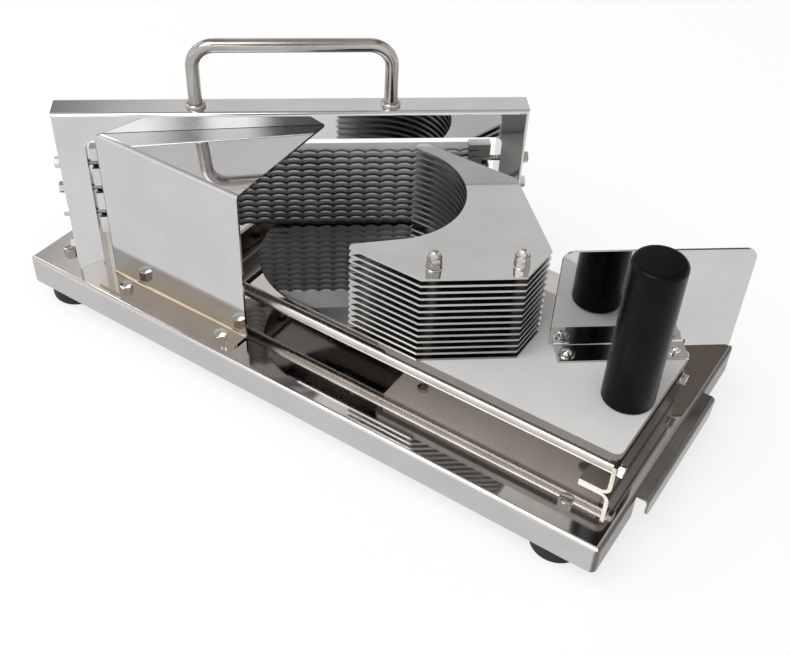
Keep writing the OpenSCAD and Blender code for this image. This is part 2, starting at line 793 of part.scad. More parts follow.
// A bar with a slot for each blade and an open pocket for each tension bolt
module blade_block(x, w, slot_x, pocket_x) {
    color("dimgray") in_frame() difference() {
        translate([x, block_y, block_low]) cube([w, block_d, block_high - block_low]);
        for (i = [1:slices]) translate([slot_x, block_y - cut, blade_z(i) - blade_t / 2 - slot_gap])
            cube([blade_grip + slot_gap + cut, block_d + 2 * cut, blade_t + 2 * slot_gap]);
        for (p = pins_at) translate([p, block_mid_y]) hole(blade_pin_d, block_low - cut, block_high + cut);
        for (z = tension_zs) translate([0, block_mid_y, z]) rotate([0, quarter, 0]) {
            hole(tension_d, post_left_w, tension_left_l);
            hole(tension_d, frame_l - tension_right_l, opening_right);
        }
        for (z = tension_zs) translate([pocket_x, block_y - cut, z - pocket_h / 2])
            cube([pocket_l + cut, cut + block_d / 2 + tension_d / 2 + slot_gap, pocket_h]);
    }
}

module left_blade_block() {
    blade_block(block_left_x, block_left_end - block_left_x, blade_left - slot_gap, block_left_x - cut);
}

module right_blade_block() {
    blade_block(
        block_right_x - block_right_w, block_right_w,
        blade_right - blade_grip - cut, block_right_x - pocket_l
    );
}

module blade_pins() {
    color("silver") in_frame() for (x = pins_at) translate([x, block_mid_y, block_low])
        cylinder(d = blade_pin_d, h = block_high - block_low);
}

module tension_bolts() {
    color("silver") in_frame() for (z = tension_zs) {
        translate([0, block_mid_y, z]) rotate([0, -quarter, 0]) washer_bolt(tension_d, tension_left_l);
        translate([frame_l, block_mid_y, z]) rotate([0, quarter, 0])
            washer_bolt(tension_d, tension_right_l);
    }
}

// The plan of the guard, whose foot has a round outer corner
module guard_plan() {
    guard_l = guard_right_x - guard_left_x;
    translate([guard_left_x, guard_y - guard_foot]) {
        square([guard_l - guard_corner, guard_foot]);
        translate([0, guard_corner]) square([guard_l, face_y(guard_right_x)]);
        translate([guard_l - guard_corner, guard_corner]) circle(guard_corner);
    }
}

// The guard's folded section: a foot towards the operator's side, a plate and a rising top
module guard_profile() {
    translate([guard_y + guard_t, 0]) mirror([1, 0])
        angle_profile(guard_foot + guard_t, guard_h - guard_bend, guard_t, guard_bend);
    translate([guard_y + guard_bend, guard_h - guard_bend]) {
        rotate(guard_slope) translate([0, guard_bend - guard_t]) square([guard_top_l, guard_t]);
        intersection() {
            difference() {
                circle(guard_bend);
                circle(guard_bend - guard_t);
            }
            translate([-guard_bend, 0]) square(guard_bend);
            rotate(guard_slope) translate([-2 * guard_bend, 0]) square(2 * guard_bend);
        }
    }
}

// The guard ends just in front of the frame's bar, and passes under it at its left edge
module side_guard() {
    color("silver") on_tray() difference() {
        intersection() {
            translate([guard_left_x, 0, 0]) along_x(guard_right_x - guard_left_x) guard_profile();
            linear_extrude(guard_h + guard_top_l * tan(guard_slope)) guard_plan();
        }
        translate([frame_x, frame_y, opening_h - sheet_gap]) rotate([0, 0, frame_turn])
            translate([0, -sheet_gap, 0]) cube([frame_l, frame_l, frame_h]);
        for (p = guard_bolts_at) translate(p) hole(guard_bolt_d, -cut, guard_t + cut);
    }
}

module guard_bolts() {
    reach = guard_t + tray_t;
    color("silver") on_tray() for (p = guard_bolts_at) translate([p[0], p[1], guard_t]) {
        hex_bolt(guard_bolt_d, reach + head_h(guard_bolt_d));
        translate([0, 0, -reach - head_h(guard_bolt_d)]) hex_head(guard_bolt_d);
    }
}

module slide_board() {
    color("white") on_tray() difference() {
        translate([board_x, board_y, board_z]) linear_extrude(board_t)
            round_rect(board_l, board_w, board_corner);
        for (p = stack_bolts_at) translate(p) hole(stack_bolt_d, board_z - cut, board_top + cut);
        translate(grip_at) hole(grip_stud_d, board_z - cut, board_top + cut);
        for (p = runner_screws_at) translate(p)
            hole(runner_screw_d, board_z - cut, board_z + runner_screw_depth + sheet_gap);
        translate([hand_at[0], hand_at[1]]) rotate([0, 0, frame_turn]) for (p = hand_screws_at) translate(p)
            hole(hand_screw_d, board_top - hand_screw_depth - sheet_gap, board_top + cut);
    }
}

// A plate between the rods, whose long sides are hollowed to run on them
module slide_runner() {
    color("whitesmoke") on_tray() difference() {
        translate([runner_x, rod_y, runner_z]) cube([runner_l, rod_gap, board_z - runner_z]);
        for (y = [rod_y, rod_far_y]) translate([runner_x - cut, y, rod_z]) rotate([0, quarter, 0])
            cylinder(d = rod_d + 2 * run_gap, h = runner_l + 2 * cut);
        for (p = runner_screws_at) translate(p) hole(runner_screw_d, runner_z - cut, board_z + cut);
        for (p = stack_bolts_at) translate(p)
            hole(head_d(stack_bolt_d), board_z - head_h(stack_bolt_d) - sheet_gap, board_z + cut);
        translate(grip_at) hole(grip_head_d, board_z - grip_head_h - sheet_gap, board_z + cut);
    }
}

module runner_screws() {
    color("silver") on_tray() for (p = runner_screws_at) translate([p[0], p[1], runner_z]) mirror([0, 0, 1])
        hex_bolt(runner_screw_d, board_z - runner_z + runner_screw_depth);
}

// The outer edge that the pusher plates and the rear of the nose plate share
module stack_outline(front_near, front_far) {
    polygon([
        [front_near, stack_y],
        [chamfer_x, stack_y],
        [stack_rear_x, stack_y + chamfer_w],
        [stack_rear_x, stack_far_y - chamfer_far_l],
        [far_edge_x, stack_far_y],
        [front_far + horn_cut, stack_far_y],
        [front_far, stack_far_y - horn_cut]
    ]);
}

module stack_bolt_holes() {
    for (p = stack_bolts_at) translate(p) circle(d = stack_bolt_d + 2 * bolt_gap);
}

// The round hollow that pushes the fruit, open towards the blades
module scoop() {
    turn = 45;
    reach = scoop_r;
    translate([scoop_x, scoop_y]) {
        circle(scoop_r);
        polygon([
            [0, scoop_r],
            scoop_r * [cos(turn), -sin(turn)],
            scoop_r * [cos(turn), -sin(turn)] - reach * [cos(turn), sin(turn)],
            [-2 * reach, -2 * reach],
            [-2 * reach, scoop_r]
        ]);
    }
}

module fin(i) {
    color("gainsboro") on_tray() translate([0, 0, nose_top + i * pitch - fin_t]) linear_extrude(fin_t)
        difference() {
            stack_outline(horn_near_x, horn_far_x);
            scoop();
            stack_bolt_holes();
        }
}

module nose_plate() {
    nose_r = stack_w / 2;
    color("gainsboro") on_tray() translate([0, 0, board_top]) linear_extrude(fin_t) difference() {
        union() {
            stack_outline(nose_x + nose_r, nose_x + nose_r - horn_cut);
            translate([nose_x + nose_r, stack_y + nose_r]) circle(nose_r);
        }
        stack_bolt_holes();
    }
}

module stack_spacers() {
    color("silver") on_tray() for (p = stack_bolts_at, i = [0:slices - 1])
        translate([p[0], p[1], nose_top + i * pitch]) difference() {
            cylinder(d = spacer_d, h = fin_gap);
            hole(stack_bolt_d, -cut, fin_gap + cut);
        }
}

module stack_bolts() {
    top = stack_top + washer_t + head_h(stack_bolt_d) + cap_hex_ratio * stack_bolt_d;
    color("silver") on_tray() for (p = stack_bolts_at) translate([p[0], p[1], board_z]) {
        translate([0, 0, -head_h(stack_bolt_d)]) hex_head(stack_bolt_d);
        translate([0, 0, -cut]) cylinder(d = stack_bolt_d, h = top - board_z + cut);
    }
}

// A washer, a nut and a cap nut on top of each stack bolt
module stack_nuts() {
    nut_h = head_h(stack_bolt_d);
    cap_h = cap_hex_ratio * stack_bolt_d;
    color("silver") on_tray() for (p = stack_bolts_at) translate([p[0], p[1], stack_top]) difference() {
        union() {
            cylinder(d = stack_bolt_d * washer_ratio, h = washer_t);
            translate([0, 0, washer_t]) hex_head(stack_bolt_d);
            translate([0, 0, washer_t + nut_h]) {
                cylinder(d = head_d(stack_bolt_d), h = cap_h, $fn = hex);
                translate([0, 0, cap_h]) sphere(cap_dome_ratio * stack_bolt_d);
            }
        }
        hole(stack_bolt_d, -cut, washer_t + nut_h + cap_h + bolt_gap);
    }
}

module grip() {
    steps = 8;
    top_r = grip_top_d / 2;
    edge = [
        for (i = [0:steps])
            [
                top_r - grip_round * (1 - cos(quarter * i / steps)),
                grip_h - grip_round * (1 - sin(quarter * i / steps))
            ]
    ];
    color("black") on_tray() translate([grip_at[0], grip_at[1], board_top]) difference() {
        rotate_extrude() polygon(concat([[0, 0], [grip_d / 2, 0]], edge, [[0, grip_h]]));
        hole(grip_stud_d, -cut, grip_stud_l + cut);
    }
}

module grip_stud() {
    color("silver") on_tray() translate([grip_at[0], grip_at[1], board_z - grip_head_h]) {
        cylinder(d = grip_head_d, h = grip_head_h);
        cylinder(d = grip_stud_d, h = grip_head_h + board_t + grip_stud_l);
    }
}

module hand_guard() {
    color("gainsboro") in_hand_guard() difference() {
        union() {
            along_x(hand_foot_l) mirror([1, 0])
                angle_profile(hand_foot_w, hand_bend + hand_corner, hand_t, hand_bend);
            difference() {
                translate([-hand_left, 0, hand_clear]) rotate([quarter, 0, 0]) linear_extrude(hand_t)
                    round_top(hand_w, hand_h - hand_clear, hand_corner);
                translate([-hand_left - cut, -hand_t - cut, hand_clear - cut])
                    cube([hand_left + hand_foot_l + hand_t + cut, hand_t + 2 * cut, hand_bend - hand_clear + cut]);
            }
        }
        for (p = hand_screws_at) translate(p) hole(hand_screw_d, -cut, hand_t + cut);
    }
}

module hand_guard_screws() {
    color("silver") in_hand_guard() for (p = hand_screws_at) translate([p[0], p[1], hand_t])
        button_screw(hand_screw_d, hand_t + hand_screw_depth);
}

base_tray();
end_lip();
rubber_feet();
foot_bolts();
rail_bracket_left();
rail_bracket_right();
near_rail();
far_rail();
rail_bolts();
bracket_screws();
frame_shell();
frame_foot_brackets();
frame_foot_bolts();
carry_handle();
handle_collars();
handle_nuts();
left_blade_block();
right_blade_block();
blade_pins();
tension_bolts();
side_guard();
guard_bolts();
slide_board();
slide_runner();
runner_screws();
nose_plate();
stack_spacers();
stack_bolts();
stack_nuts();
grip();
grip_stud();
hand_guard();
hand_guard_screws();
for (i = [1:slices]) {
    blade(i);
    fin(i);
}
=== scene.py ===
import math
import bmesh
import bpy
from mathutils import Matrix, Vector


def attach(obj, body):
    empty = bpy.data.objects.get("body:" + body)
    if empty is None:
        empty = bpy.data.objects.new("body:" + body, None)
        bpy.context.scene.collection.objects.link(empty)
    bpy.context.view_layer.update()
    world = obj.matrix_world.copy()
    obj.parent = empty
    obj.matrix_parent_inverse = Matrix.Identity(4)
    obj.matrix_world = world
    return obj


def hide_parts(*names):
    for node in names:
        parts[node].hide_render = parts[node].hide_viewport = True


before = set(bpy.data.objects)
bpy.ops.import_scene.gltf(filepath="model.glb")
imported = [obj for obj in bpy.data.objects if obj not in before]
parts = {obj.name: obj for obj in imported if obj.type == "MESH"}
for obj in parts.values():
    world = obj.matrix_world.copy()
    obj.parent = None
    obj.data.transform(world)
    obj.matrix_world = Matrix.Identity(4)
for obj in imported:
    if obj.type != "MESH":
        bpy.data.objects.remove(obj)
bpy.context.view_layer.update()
mm = 0.001
print("solids loaded:", len(parts))

# where the slicer's pieces stand, in mm from the tray's near left top corner
plan = {
    "corner": (-222.0, -101.5, 36.0),
    "sheet": 1.5,
    "frameAt": (42.0, 6.5),
    "frameTurn": math.radians(37.75),
    "frameLength": 296.0,
    "frameDepth": 19.0,
    "frameHeight": 125.0,
    "boardTop": 34.0,
    "stackTop": 96.6,
    "plates": 13,
}


def onTray(x, y, z):
    return (Vector((x, y, z)) + Vector(plan["corner"])) * mm


def obliquely(at, along, back):  # a step from a point, along the blade frame and behind its face
    c, s = math.cos(plan["frameTurn"]), math.sin(plan["frameTurn"])
    return at[0] + along * c - back * s, at[1] + along * s + back * c


def inFrame(along, depth, z):  # along the blade frame, behind its face, above the tray
    return onTray(*obliquely(plan["frameAt"], along, depth), z)


def standing(at, up=(0, 0, 1), twist=0.0):  # a place in mm units whose Z points along up
    turn = Vector(up).to_track_quat("Z", "Y").to_matrix().to_4x4()
    return Matrix.Translation(at) @ turn @ Matrix.Rotation(twist, 4, "Z") @ Matrix.Scale(mm, 4)


# shader sockets that work in Python expressions
class Wire:
    def __init__(self, tree, socket=None):
        self.tree, self.socket = tree, socket

    def add(self, kind, settings=None, links=None, out=0):
        node = self.tree.nodes.new("ShaderNode" + kind)
        for key, value in (settings or {}).items():
            if key == "stops":
                steps = node.color_ramp.elements
                for extra in value[2:]:  # a new ramp has two stops
                    steps.new(extra[0])
                for step, (at, shade) in zip(steps, value):
                    step.position, step.color = at, (*shade, 1.0)
            else:
                setattr(node, key, value)
        for key, value in (links or {}).items():
            if isinstance(value, Wire):
                self.tree.links.new(value.socket, node.inputs[key])
            else:
                node.inputs[key].default_value = value
        return Wire(self.tree, node.outputs[out])

    def maths(self, operation, first, second):
        return self.add("Math", {"operation": operation}, {0: first, 1: second})

    def __add__(self, other):
        return self.maths("ADD", self, other)

    def __radd__(self, other):
        return self.maths("ADD", other, self)

    def __sub__(self, other):
        return self.maths("SUBTRACT", self, other)

    def __rsub__(self, other):
        return self.maths("SUBTRACT", other, self)

    def __mul__(self, other):
        return self.maths("MULTIPLY", self, other)


def newFinish(name, fixed):
    material = bpy.data.materials.new(name)
    material.use_nodes = True
    shader = material.node_tree.nodes["Principled BSDF"]
    for key, value in fixed.items():
        shader.inputs[key].default_value = value
    return material, shader, Wire(material.node_tree).add("TexCoord", out="Object")


def feed(shader, links):
    for key, wire in links.items():
        wire.tree.links.new(wire.socket, shader.inputs[key])


def stretch(place, scale):
    return place.add("Mapping", {}, {"Vector": place, "Scale": scale})


def grains(place, scale, detail=3.0, rough=0.5, twirl=0.0):
    links = {"Vector": place, "Scale": scale, "Detail": detail, "Roughness": rough, "Distortion": twirl}
    return place.add("TexNoise", {}, links)


def axisOf(vector, axis):
    return vector.add("SeparateXYZ", {}, {0: vector}, out=axis)


def facing(place, axis):  # how far the surface faces along an axis
    return axisOf(place.add("TexCoord", out="Normal"), axis)


def blendShade(mask, low, high, mode="MIX"):  # 6, 7 and 2 are the Mix node's colour sockets
    low, high = (shade if isinstance(shade, Wire) else (*shade, 1.0) for shade in (low, high))
    return mask.add("Mix", {"data_type": "RGBA", "blend_type": mode}, {0: mask, 6: low, 7: high}, out=2)


def rampUp(value, low, high):  # 0 below low, 1 above high
    return value.add("MapRange", {"interpolation_type": "SMOOTHSTEP"}, {0: value, 1: low, 2: high})


def between(value, low, full, fade, high):
    return rampUp(value, low, full) * (1 - rampUp(value, fade, high))


def paler(shade, gain):
    return tuple(v * gain for v in shade)


# sheet and bar steel: clouded colour, smears, fine lines along one way, gentle waves
steelSet = {
    "cloud": 26.0, "smear": 44.0, "wave": 9.0, "lineTone": 0.2, "smearRough": 0.04,
    "smearBand": (0.42, 0.74), "toneBand": (0.3, 0.7), "topBand": (0.82, 0.995), "endBand": (0.15, 0.6),
    "endPaler": 1.3, "warmPaler": 1.12, "warmFade": 2.0,
}


def steelFinish(name, own):
    look = {**steelSet, **own}
    material, shader, place = newFinish(name, {"Metallic": 1.0})
    smear = rampUp(grains(place, look["smear"], detail=5.0, rough=0.6, twirl=1.4), *look["smearBand"])
    lines = grains(stretch(place, look["grain"]), 1.0, detail=4.0, rough=0.62)
    evenLines = lines - 0.5
    tone = rampUp(grains(place, look["cloud"]) + evenLines * look["lineTone"], *look["toneBand"])
    shade = blendShade(tone, look["dark"], look["light"])
    rough = look["rough"] + smear * look["smearRough"] + evenLines * look["lineRough"]
    height = grains(place, look["wave"], detail=1.0) * look["waveHigh"] + lines * look["lineHigh"]
    if "side" in look:  # the upright faces are duller than the top, and painted in a darker shade than the top
        upright = 1 - rampUp(facing(place, "Z"), *look["topBand"])
        rough = rough + upright * look["side"]
        shade = blendShade(upright, shade, blendShade(tone, look["sideDark"], look["sideLight"]))
    if "end" in look:  # the faces that look towards the grip's end are painted dark brown, standing in for the dark they reflect
        paintedEndShade = blendShade(tone, look["end"], paler(look["end"], look["endPaler"]))
        shade = blendShade(rampUp(facing(place, "X"), *look["endBand"]), shade, paintedEndShade)
    if "warm" in look:  # the foot lies in the warm light that comes back from the tray
        top, fade = look["warmTop"] * mm, look["warmFade"] * mm
        warm = blendShade(tone, look["warm"], paler(look["warm"], look["warmPaler"]))
        shade = blendShade(1 - rampUp(axisOf(place, "Z"), top, top + fade), shade, warm)
    bump = place.add("Bump", {}, {"Strength": 1.0, "Distance": look["deep"], "Height": height})
    feed(shader, {"Base Color": shade, "Roughness": rough, "Normal": bump})
    return material


# moulded and sawn plastic, and rubber: clouds, pits and scratches
plasticSet = {
    "shine": 0.5, "glow": 0.0, "scratchBand": (0.62, 0.72), "toneBand": (0.3, 0.7), "cloudShare": 0.6,
    "paintedEdgeBand": (0.5, 0.95), "paintedEdgePaler": 1.2, "sideBand": (0.2, 0.6),
}


def plasticFinish(name, own):
    look = {**plasticSet, **own}
    material, shader, place = newFinish(name, {
        "Specular IOR Level": look["shine"],
        "Emission Strength": look["glow"],
        "Emission Color": (*look["light"], 1.0),
    })
    cloud = grains(place, look["cloud"], detail=4.0, rough=0.6)
    pits = grains(place, look["pits"], detail=3.0, rough=0.7)
    scuffs = grains(stretch(place, look["scuff"]), 1.0, detail=5.0, rough=0.65)
    scratch = rampUp(scuffs, *look["scratchBand"])
    tone = rampUp(cloud, *look["toneBand"]) * look["cloudShare"] + pits * (1 - look["cloudShare"])
    height = pits * look["pitHigh"] - scratch * look["scratchHigh"]
    shade = blendShade(tone, look["dark"], look["light"])
    if "paintedEdgeShade" in look:  # the edges are painted in a dark shade, darker than the faces
        paintedEdgeShade = blendShade(tone, look["paintedEdgeShade"], paler(look["paintedEdgeShade"], look["paintedEdgePaler"]))
        shade = blendShade(1 - rampUp(facing(place, "Z"), *look["paintedEdgeBand"]), shade, paintedEdgeShade)
    if "sides" in look:  # the long sides lie in the shade between the board and the rods
        aside = facing(place, "Y")
        shade = blendShade(rampUp(aside * aside, *look["sideBand"]), shade, look["sides"])
    feed(shader, {
        "Base Color": shade,
        "Roughness": look["rough"] + (pits - 0.5) * look["pitRough"] + scratch * look["scratchRough"],
        "Normal": place.add("Bump", {}, {"Strength": 1.0, "Distance": look["deep"], "Height": height}),
    })
    return material


steelLooks = {
    "mirrorSheet": {
        "dark": (0.565, 0.56, 0.56), "light": (0.605, 0.6, 0.6), "rough": 0.035, "grain": (18, 700, 700),
        "lineHigh": 0.001, "lineRough": 0.015, "waveHigh": 0.5, "deep": 0.0003,
    },
    "guardSheet": {
        "dark": (0.535, 0.535, 0.545), "light": (0.565, 0.565, 0.575), "rough": 0.05, "grain": (18, 700, 700),
        "lineHigh": 0.001, "lineRough": 0.015, "waveHigh": 0.3, "deep": 0.0003,
        "warm": (0.56, 0.495, 0.42), "warmTop": 41.0,
    },
    "trayPolish": {
        "dark": (0.56, 0.53, 0.505), "light": (0.63, 0.6, 0.575), "rough": 0.06, "grain": (9, 520, 520),
        "lineHigh": 0.0015, "lineRough": 0.03, "waveHigh": 0.5, "deep": 0.0003,
        # the tray's upright faces are painted in a darker shade than its top
        "side": 0.22, "sideDark": (0.49, 0.485, 0.48), "sideLight": (0.525, 0.52, 0.515),
        # painted dark shade on the faces towards the grip's end
        "end": (0.12, 0.105, 0.095),
    },
    # the lip's dark brown tone is painted, standing in for the dark it reflects
    "lipPaintedDark": {
        "dark": (0.21, 0.192, 0.177), "light": (0.36, 0.332, 0.308), "rough": 0.2, "grain": (500, 30, 500),
        "lineHigh": 0.006, "lineRough": 0.06, "waveHigh": 0.3, "deep": 0.0003, "lineTone": 0.6,
        # painted dark shade on the faces towards the grip's end
        "end": (0.13, 0.122, 0.117),
    },
    "barPolish": {
        "dark": (0.35, 0.33, 0.308), "light": (0.45, 0.427, 0.4), "rough": 0.1, "grain": (160, 160, 900),
        "lineHigh": 0.006, "lineRough": 0.04, "waveHigh": 0.1, "deep": 0.0002,
    },
    "bracketSatin": {
        "dark": (0.3, 0.283, 0.262), "light": (0.37, 0.35, 0.325), "rough": 0.2, "grain": (700, 40, 700),
        "lineHigh": 0.006, "lineRough": 0.05, "waveHigh": 0.1, "deep": 0.0002, "lineTone": 0.6,
        # painted dark shade on the faces towards the grip's end
        "end": (0.075, 0.064, 0.055),
    },
    "rodGround": {
        "dark": (0.45, 0.43, 0.4), "light": (0.53, 0.51, 0.48), "rough": 0.26, "grain": (1400, 40, 40),
        "lineHigh": 0.006, "lineRough": 0.06, "waveHigh": 0.05, "deep": 0.0001,
    },
    "plateSatin": {
        "dark": (0.55, 0.545, 0.55), "light": (0.6, 0.595, 0.6), "rough": 0.06, "grain": (14, 620, 620),
        "lineHigh": 0.004, "lineRough": 0.04, "waveHigh": 0.4, "deep": 0.0002,
        # the plates' upright edges are painted in a darker, warmer shade than their faces
        "side": 0.3, "sideDark": (0.5, 0.49, 0.48), "sideLight": (0.58, 0.57, 0.56),
    },
    "noseMirror": {
        "dark": (0.31, 0.31, 0.315), "light": (0.36, 0.36, 0.365), "rough": 0.03, "grain": (14, 620, 620),
        "lineHigh": 0.001, "lineRough": 0.02, "waveHigh": 0.3, "deep": 0.0002,
    },
    "bladeFlat": {
        "dark": (0.36, 0.36, 0.362), "light": (0.45, 0.45, 0.452), "rough": 0.22, "grain": (20, 20, 900),
        "lineHigh": 0.02, "lineRough": 0.08, "waveHigh": 0.2, "deep": 0.0001,
    },
    # the grind's dark tone is painted, standing in for the dark it reflects
    "bladeGrindPaintedDark": {
        "dark": (0.12, 0.12, 0.122), "light": (0.26, 0.26, 0.262), "rough": 0.28, "grain": (1500, 1500, 30),
        "lineHigh": 0.06, "lineRough": 0.12, "waveHigh": 0.0, "deep": 0.0001,
    },
    "blockMilled": {
        "dark": (0.5, 0.495, 0.49), "light": (0.62, 0.615, 0.61), "rough": 0.2, "grain": (60, 60, 1300),
        "lineHigh": 0.05, "lineRough": 0.1, "waveHigh": 0.1, "deep": 0.0001,
    },
    "boltBright": {
        "dark": (0.46, 0.44, 0.41), "light": (0.62, 0.6, 0.565), "rough": 0.13, "grain": (600, 600, 600),
        "lineHigh": 0.04, "lineRough": 0.1, "waveHigh": 0.2, "wave": 300.0, "deep": 0.0001,
    },
    "boltDull": {
        "dark": (0.2, 0.19, 0.18), "light": (0.3, 0.285, 0.27), "rough": 0.3, "grain": (600, 600, 600),
        "lineHigh": 0.05, "lineRough": 0.1, "waveHigh": 0.2, "wave": 300.0, "deep": 0.0001,
    },
}
plasticLooks = {
    "boardWhite": {
        "dark": (0.57, 0.565, 0.555), "light": (0.64, 0.635, 0.625), "rough": 0.42, "cloud": 22.0,
        "pits": 900.0, "pitHigh": 0.2, "pitRough": 0.16, "deep": 0.0001,
        "scuff": (30, 900, 900), "scratchHigh": 0.25, "scratchRough": 0.1,
        # painted dark shade on the board's edges
        "paintedEdgeShade": (0.15, 0.136, 0.125),
    },
    "runnerWhite": {
        "dark": (0.78, 0.755, 0.72), "light": (0.85, 0.825, 0.79), "rough": 0.4, "cloud": 22.0,
        "pits": 900.0, "pitHigh": 0.2, "pitRough": 0.16, "deep": 0.0001,
        "scuff": (30, 900, 900), "scratchHigh": 0.25, "scratchRough": 0.1,
        # the runner's faint glow is painted light, standing in for light that the tray throws up onto its
        # underside
        "glow": 0.16, "sides": (0.12, 0.11, 0.1),
    },
    "gripBlack": {
        "dark": (0.0015, 0.0015, 0.0015), "light": (0.004, 0.004, 0.004), "rough": 0.26, "cloud": 60.0,
        "pits": 1600.0, "pitHigh": 0.3, "pitRough": 0.14, "deep": 0.0001,
        "scuff": (500, 500, 60), "scratchHigh": 0.3, "scratchRough": 0.14,
        "shine": 0.09,
    },
    "footRubber": {
        "dark": (0.01, 0.01, 0.01), "light": (0.028, 0.027, 0.026), "rough": 0.68, "cloud": 90.0,
        "pits": 1100.0, "pitHigh": 0.8, "pitRough": 0.2, "deep": 0.0002,
        "scuff": (300, 300, 90), "scratchHigh": 0.2, "scratchRough": 0.1,
        "shine": 0.25,
    },
}
finishes = {name: steelFinish(name, look) for name, look in steelLooks.items()}
finishes.update({name: plasticFinish(name, look) for name, look in plasticLooks.items()})
print("finishes made:", len(finishes))


# the solids that are shown as they are: finish, and width of the softened edges in mm
dressing = {
    "base_tray": ("trayPolish", 0.25), "end_lip": ("lipPaintedDark", 0.25),
    "frame_shell": ("mirrorSheet", 0.25), "frame_foot_brackets": ("mirrorSheet", 0.0),
    "side_guard": ("guardSheet", 0.2), "hand_guard": ("mirrorSheet", 0.2),
    "near_rail": ("rodGround", 0.0), "far_rail": ("rodGround", 0.0),
    "rail_bracket_left": ("bracketSatin", 0.25), "rail_bracket_right": ("bracketSatin", 0.25),
    "nose_plate": ("noseMirror", 0.15), "stack_spacers": ("boltDull", 0.0),
    "stack_bolts": ("boltBright", 0.0), "grip_stud": ("boltBright", 0.0),
    "handle_nuts": ("boltBright", 0.0), "blade_pins": ("boltBright", 0.0),
    "left_blade_block": ("blockMilled", 0.0), "right_blade_block": ("blockMilled", 0.0),
    "slide_board": ("boardWhite", 0.6), "slide_runner": ("runnerWhite", 0.5),
}
dressing.update({"fin_%02d" % (i + 1): ("plateSatin", 0.12) for i in range(plan["plates"])})
softEdge = {"segments": 2, "sharperThan": 40}


def dress(name, finish, edge):
    part = parts[name]
    part.data.materials.clear()
    part.data.materials.append(finishes[finish])
    if edge:
        soft = part.modifiers.new("softEdges", "BEVEL")
        soft.width, soft.segments = edge * mm, softEdge["segments"]
        soft.limit_method, soft.angle_limit = "ANGLE", math.radians(softEdge["sharperThan"])
        soft.harden_normals = True


for name, (finish, edge) in dressing.items():
    dress(name, finish, edge)
print("solids dressed:", len(dressing))


# meshes made ring by ring
def ringOf(bm, place, points):
    return [bm.verts.new(place @ Vector(p)) for p in points]


def turnsOf(steps):
    return [2 * math.pi * k / steps for k in range(steps)]


def circlePoints(radius, z, steps):
    return [(radius * math.cos(a), radius * math.sin(a), z) for a in turnsOf(steps)]


def joinRings(bm, low, high):
    if len(low) == 1:
        made = [(low[0], high[k], high[k - 1]) for k in range(len(high))]
    elif len(high) == 1:
        made = [(low[k - 1], low[k], high[0]) for k in range(len(low))]
    else:
        made = [(low[k - 1], low[k], high[k], high[k - 1]) for k in range(len(low))]
    for corners in made:
        bm.faces.new(corners)


def loft(bm, rings):
    for low, high in zip(rings, rings[1:]):
        joinRings(bm, low, high)


def revolve(bm, place, profile, steps):  # profile of (radius, height), from the axis or bore back to it
    rings = []
    for radius, z in profile:
        points = circlePoints(radius, z, steps) if radius else [(0, 0, z)]
        rings.append(ringOf(bm, place, points))
    loft(bm, rings)
    return rings


def arc(cx, cy, radius, fromDeg, toDeg, steps):
    angles = [math.radians(fromDeg + (toDeg - fromDeg) * k / steps) for k in range(steps + 1)]
    return [(cx + radius * math.cos(a), cy + radius * math.sin(a)) for a in angles]


def newPiece(name, bm, finishNames, body, replaced, sharp=32):
    bmesh.ops.recalc_face_normals(bm, faces=bm.faces[:])
    mesh = bpy.data.meshes.new(name)
    bm.to_mesh(mesh)
    bm.free()
    for finish in finishNames:
        mesh.materials.append(finishes[finish])
    mesh.shade_smooth()
    mesh.set_sharp_from_angle(angle=math.radians(sharp))
    piece = bpy.data.objects.new(name, mesh)
    bpy.context.scene.collection.objects.link(piece)
    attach(piece, body)
    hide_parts(*replaced)


def newBolts(name, bm, body, node):
    newPiece(name, bm, ["boltBright"], body, [node])


# hexagons with the turned corners of real bolt heads; the heads' sizes are in thread widths
hexSet = {"steps": 72, "headTall": 0.75, "headWide": 1.9, "flatShare": 0.97,
          "bevel": math.tan(math.radians(30))}
fastener = {
    "washerWide": 2.0, "washerPlay": 0.3, "washerEdge": 0.25, "washerSteps": 40,
    "tip": 0.3, "sunk": 0.2, "shankSteps": 28, "nutPlay": 0.05, "pastNut": 1.2,
    "threadDeep": 0.54, "perTurn": 6,
}


def hexRadius(corner, angle):
    flat = corner / 2 * math.cos(math.pi / 6)
    part = (angle + math.pi / 6) % (math.pi / 3) - math.pi / 6
    return flat / math.cos(part)


def hexBody(bm, place, corner, low, high, bore=0.0, bothEnds=False):
    steps = hexSet["steps"]
    turns = turnsOf(steps)
    face = corner / 2 * math.cos(math.pi / 6) * hexSet["flatShare"]
    radii = [hexRadius(corner, a) for a in turns]
    drops = [(r - face) * hexSet["bevel"] for r in radii]
    sides = [(r * math.cos(a), r * math.sin(a)) for r, a in zip(radii, turns)]
    top = [(x, y, high - d) for (x, y), d in zip(sides, drops)]
    foot = [(x, y, low + (d if bothEnds else 0)) for (x, y), d in zip(sides, drops)]
    rings = [circlePoints(bore, low, steps) if bore else [(0, 0, low)]]
    if bothEnds:
        rings.append(circlePoints(face, low, steps))
    rings += [foot, top, circlePoints(face, high, steps)]
    rings.append(circlePoints(bore, high, steps) if bore else [(0, 0, high)])
    made = [ringOf(bm, place, ring) for ring in rings]
    loft(bm, made)
    if bore:
        joinRings(bm, made[-1], made[0])


